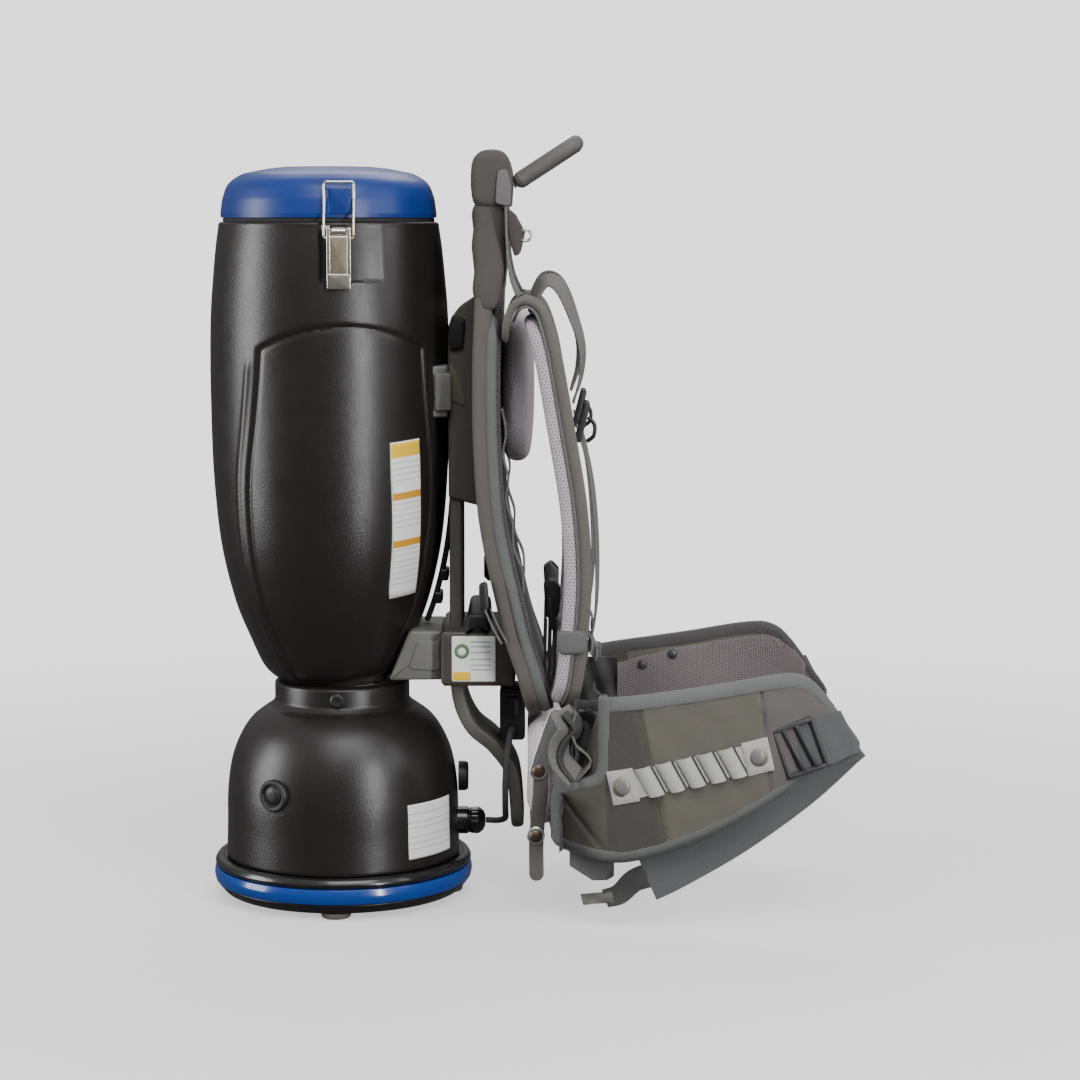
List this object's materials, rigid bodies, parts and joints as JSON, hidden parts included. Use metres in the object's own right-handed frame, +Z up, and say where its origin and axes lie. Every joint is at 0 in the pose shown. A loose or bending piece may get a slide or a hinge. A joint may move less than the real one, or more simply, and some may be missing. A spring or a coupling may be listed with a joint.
{
  "type": "backpack vacuum cleaner",
  "caption": "Upright canister with a clip-on round lid on a padded backpack harness with shoulder straps, hip belt and tool racks.",
  "frame": {"origin": "on the floor under the middle of the whole object's box", "axes": "+Z up, +X from the canister towards the wearer's back and belt, +Y to the wearer's left"},
  "size_m": [0.551, 0.3226, 0.6581],
  "materials": {
    "rubber_black": "matt moulded rubber",
    "body_charcoal": "fine-grained moulded charcoal plastic",
    "gloss_black": "smooth glossy black plastic",
    "lid_blue": "satin blue moulded plastic",
    "motor_steel": "plain steel",
    "fan_aluminium": "spun aluminium",
    "filter_paper": "white filter fleece",
    "foam_grey": "grey filter foam",
    "latch_nickel": "nickel-plated steel",
    "frame_grey": "satin grey anodised bar",
    "harness_grey": "woven grey nylon over foam",
    "harness_dark": "dark grey coated nylon",
    "mesh_pale": "pale lavender spacer mesh",
    "webbing_grey": "grey woven nylon webbing",
    "rack_silver": "silver-grey webbing with black edges"
  },
  "bodies": {
    "root": {"foot_front": "rubber_black", "foot_left": "rubber_black", "foot_rear": "rubber_black", "foot_right": "rubber_black", "bottom_cover": "body_charcoal", "blue_band": "lid_blue", "base_flange": "gloss_black", "motor_housing": "body_charcoal", "housing_plug": "gloss_black", "housing_boss": "gloss_black", "cable_gland": "gloss_black", "motor_foot": "rubber_black", "motor_can": "motor_steel", "fan_housing": "fan_aluminium", "motor_seal": "rubber_black", "exhaust_filter": "filter_paper", "motor_filter": "foam_grey", "body_shell": "body_charcoal", "filter_bag": "filter_paper", "latch_knuckle_right": "latch_nickel", "latch_knuckle_left": "latch_nickel", "upper_bracket": "body_charcoal", "lower_bracket": "body_charcoal", "bracket_box": "body_charcoal", "spine_strip": "gloss_black", "spine_plate": "frame_grey", "back_panel": "harness_grey", "top_pad": "harness_dark", "spine_gusset": "harness_dark", "upper_back_pad": "mesh_pale", "lumbar_pad": "mesh_pale", "shoulder_strap_right": "harness_grey", "shoulder_strap_left": "harness_grey", "strap_webbing_right": "webbing_grey", "strap_webbing_left": "webbing_grey", "lifter_webbing_right": "webbing_grey", "lifter_webbing_left": "webbing_grey", "hip_wing_right": "harness_grey", "hip_wing_left": "harness_grey", "tool_rack_right": "rack_silver", "tool_rack_left": "rack_silver", "belt_slider_right": "gloss_black", "belt_slider_left": "gloss_black", "belt_webbing_right": "webbing_grey", "belt_webbing_left": "webbing_grey", "hip_strut_right": "frame_grey", "hip_strut_left": "frame_grey", "switch_box": "gloss_black", "power_lead": "rubber_black"},
    "lid": {"lid": "lid_blue", "lid_gasket": "rubber_black"},
    "hose_swivel": {"hose_swivel": "gloss_black"},
    "fan": {"fan_rotor": "fan_aluminium"},
    "lever_right": {"latch_lever_right": "latch_nickel"},
    "lever_left": {"latch_lever_left": "latch_nickel"},
    "bail_right": {"latch_bail_right": "latch_nickel"},
    "bail_left": {"latch_bail_left": "latch_nickel"},
    "rocker": {"switch_rocker": "rubber_black"},
    "handle": {"carry_handle": "harness_dark"}
  },
  "joints": [
    {"name": "lid_lift", "type": "slide", "parent": "root", "child": "lid", "axis": [0, 0, 1], "range_m": [0, 0.08]},
    {"name": "hose_turn", "type": "hinge", "parent": "lid", "child": "hose_swivel", "pos_m": [-0.17175, 0, 0.628], "axis": [0, 0, 1], "continuous": true},
    {"name": "fan_spin", "type": "hinge", "parent": "root", "child": "fan", "pos_m": [-0.16375, 0, 0.11], "axis": [0, 0, 1], "continuous": true},
    {"name": "lever_right_turn", "type": "hinge", "parent": "root", "child": "lever_right", "pos_m": [-0.15575, -0.1026, 0.5777], "axis": [-1, 0, 0], "range_deg": [0, 150.5]},
    {"name": "lever_left_turn", "type": "hinge", "parent": "root", "child": "lever_left", "pos_m": [-0.15575, 0.1026, 0.5777], "axis": [1, 0, 0], "range_deg": [0, 150.5]},
    {"name": "bail_right_turn", "type": "hinge", "parent": "lever_right", "child": "bail_right", "pos_m": [-0.15575, -0.1026, 0.5722], "axis": [1, 0, 0], "range_deg": [0, 176.1]},
    {"name": "bail_left_turn", "type": "hinge", "parent": "lever_left", "child": "bail_left", "pos_m": [-0.15575, 0.1026, 0.5722], "axis": [-1, 0, 0], "range_deg": [0, 176.1]},
    {"name": "switch_rock", "type": "hinge", "parent": "root", "child": "rocker", "pos_m": [-0.01475, -0.015, 0.169], "axis": [1, 0, 0], "range_deg": [0, 16]},
    {"name": "handle_swing", "type": "hinge", "parent": "root", "child": "handle", "pos_m": [-0.00775, 0, 0.621], "axis": [0, 1, 0], "range_deg": [-25, 60]}
  ],
  "couplings": [
    {"joint": "lever_right_turn", "follows": "lid_lift", "rad_per_m": 32.725},
    {"joint": "lever_left_turn", "follows": "lid_lift", "rad_per_m": 32.725},
    {"joint": "bail_right_turn", "follows": "lid_lift", "rad_per_m": 38.288},
    {"joint": "bail_left_turn", "follows": "lid_lift", "rad_per_m": 38.288}
  ]
}
